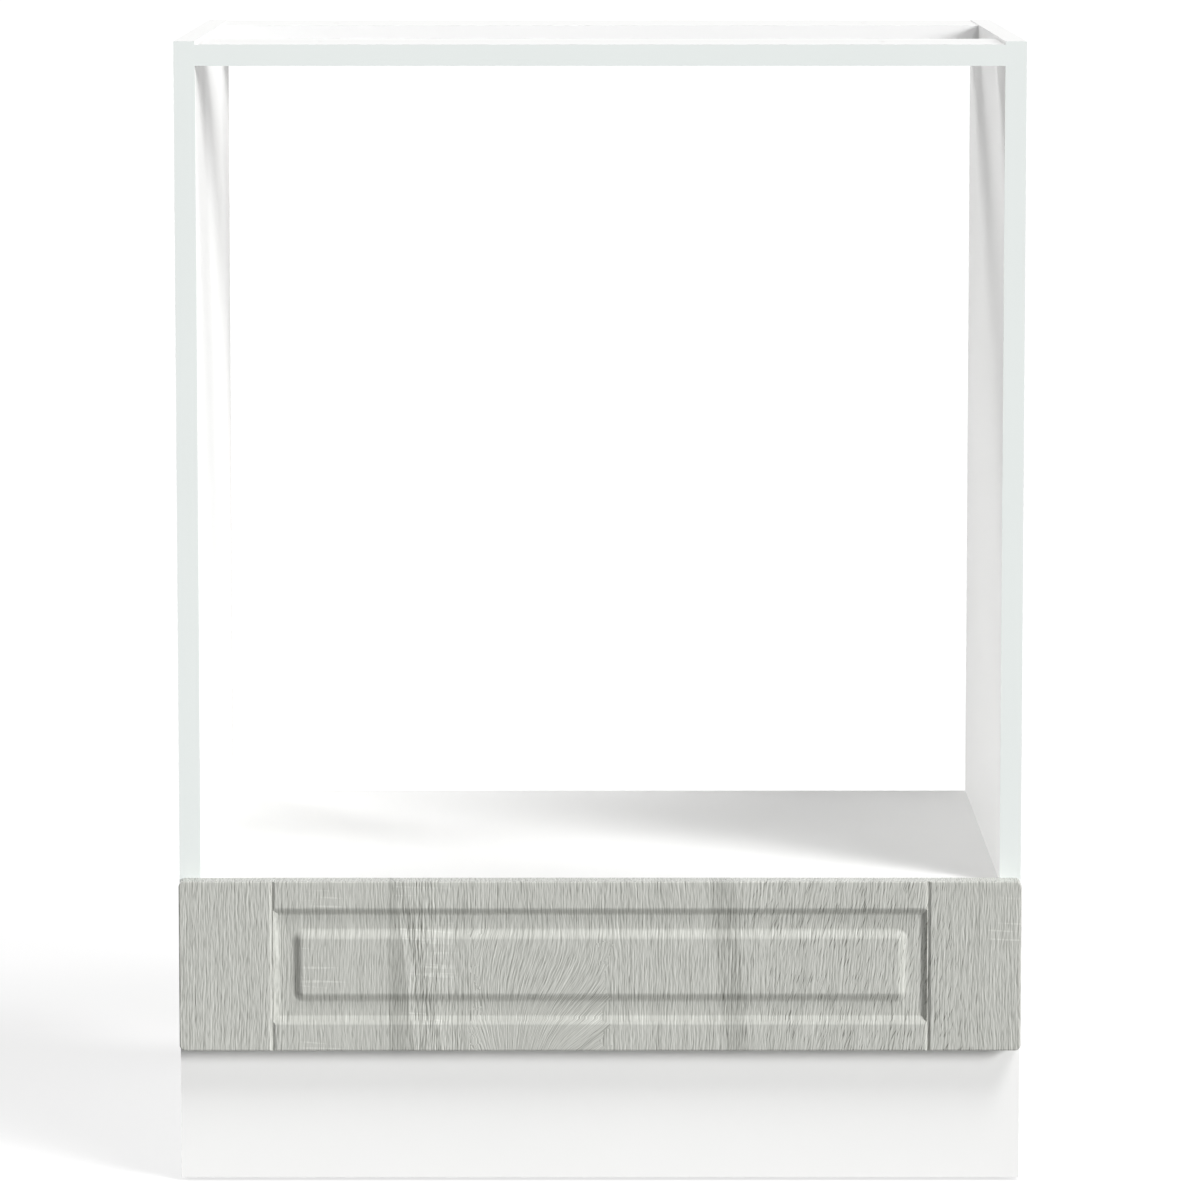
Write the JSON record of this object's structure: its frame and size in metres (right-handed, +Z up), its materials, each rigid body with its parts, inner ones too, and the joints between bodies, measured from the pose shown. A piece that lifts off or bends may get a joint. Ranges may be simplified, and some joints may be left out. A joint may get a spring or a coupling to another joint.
{
  "type": "oven housing unit",
  "caption": "Base kitchen cabinet for a built-in oven: open niche with top rails over a shallow drawer with a routed wood-look front, on a full-width plinth.",
  "frame": {"origin": "on the floor, at the middle of the overall width and of the overall depth with the drawer closed", "axes": "+Z up; the drawer opens towards -Y; +X towards the user's right when facing the drawer"},
  "size_m": [0.6, 0.46, 0.815],
  "materials": {
    "melamine_board": "satin",
    "edge_band": "satin",
    "front_foil": "matte",
    "drawer_board": "satin",
    "hardboard": "matte",
    "beech": "matte",
    "zinc": "satin",
    "bright_steel": "satin",
    "coated_steel": "satin",
    "nylon": "satin",
    "glide_plastic": "matte"
  },
  "bodies": {
    "carcass": {"side_panel_left": "melamine_board", "side_panel_right": "melamine_board", "bottom_panel": "melamine_board", "oven_shelf": "melamine_board", "front_rail": "melamine_board", "back_rail": "melamine_board", "plinth_board": "melamine_board", "lower_back_panel": "hardboard", "edge_band_left": "edge_band", "edge_band_right": "edge_band", "edge_band_front_rail": "edge_band", "edge_band_back_rail": "edge_band", "edge_band_shelf": "edge_band", "edge_band_bottom": "edge_band", "carcass_cam_locks": "zinc", "carcass_cam_bolts": "bright_steel", "carcass_dowels": "beech", "floor_glides": "glide_plastic", "plinth_brackets": "zinc", "plinth_bracket_screws": "bright_steel", "back_panel_nails": "bright_steel", "cabinet_runner_left": "coated_steel", "cabinet_runner_right": "coated_steel", "cabinet_runner_screws": "bright_steel", "front_roller_axles": "bright_steel"},
    "drawer": {"drawer_front": "front_foil", "drawer_side_left": "drawer_board", "drawer_side_right": "drawer_board", "drawer_back": "drawer_board", "drawer_bottom": "hardboard", "drawer_runner_left": "coated_steel", "drawer_runner_right": "coated_steel", "drawer_runner_screws": "bright_steel", "drawer_cam_locks": "zinc", "drawer_cam_bolts": "bright_steel", "drawer_dowels": "beech", "drawer_back_screws": "bright_steel", "drawer_bottom_nails": "bright_steel", "rear_roller_axles": "bright_steel"},
    "front_roller_left": {"front_roller_left": "nylon"},
    "front_roller_right": {"front_roller_right": "nylon"},
    "rear_roller_left": {"rear_roller_left": "nylon"},
    "rear_roller_right": {"rear_roller_right": "nylon"}
  },
  "joints": [
    {"name": "drawer_slide", "type": "slide", "parent": "carcass", "child": "drawer", "axis": [0, -1, 0], "range_m": [0, 0.3]},
    {"name": "front_roller_left_spin", "type": "hinge", "parent": "carcass", "child": "front_roller_left", "pos_m": [-0.2787, -0.197, 0.1331], "axis": [1, 0, 0], "continuous": true},
    {"name": "front_roller_right_spin", "type": "hinge", "parent": "carcass", "child": "front_roller_right", "pos_m": [0.2787, -0.197, 0.1331], "axis": [1, 0, 0], "continuous": true},
    {"name": "rear_roller_left_spin", "type": "hinge", "parent": "drawer", "child": "rear_roller_left", "pos_m": [-0.2787, 0.178, 0.1313], "axis": [1, 0, 0], "continuous": true},
    {"name": "rear_roller_right_spin", "type": "hinge", "parent": "drawer", "child": "rear_roller_right", "pos_m": [0.2787, 0.178, 0.1313], "axis": [1, 0, 0], "continuous": true}
  ],
  "couplings": [
    {"joint": "front_roller_left_spin", "follows": "drawer_slide", "rad_per_m": 111.11},
    {"joint": "front_roller_right_spin", "follows": "drawer_slide", "rad_per_m": 111.11},
    {"joint": "rear_roller_left_spin", "follows": "drawer_slide", "rad_per_m": 125},
    {"joint": "rear_roller_right_spin", "follows": "drawer_slide", "rad_per_m": 125}
  ]
}
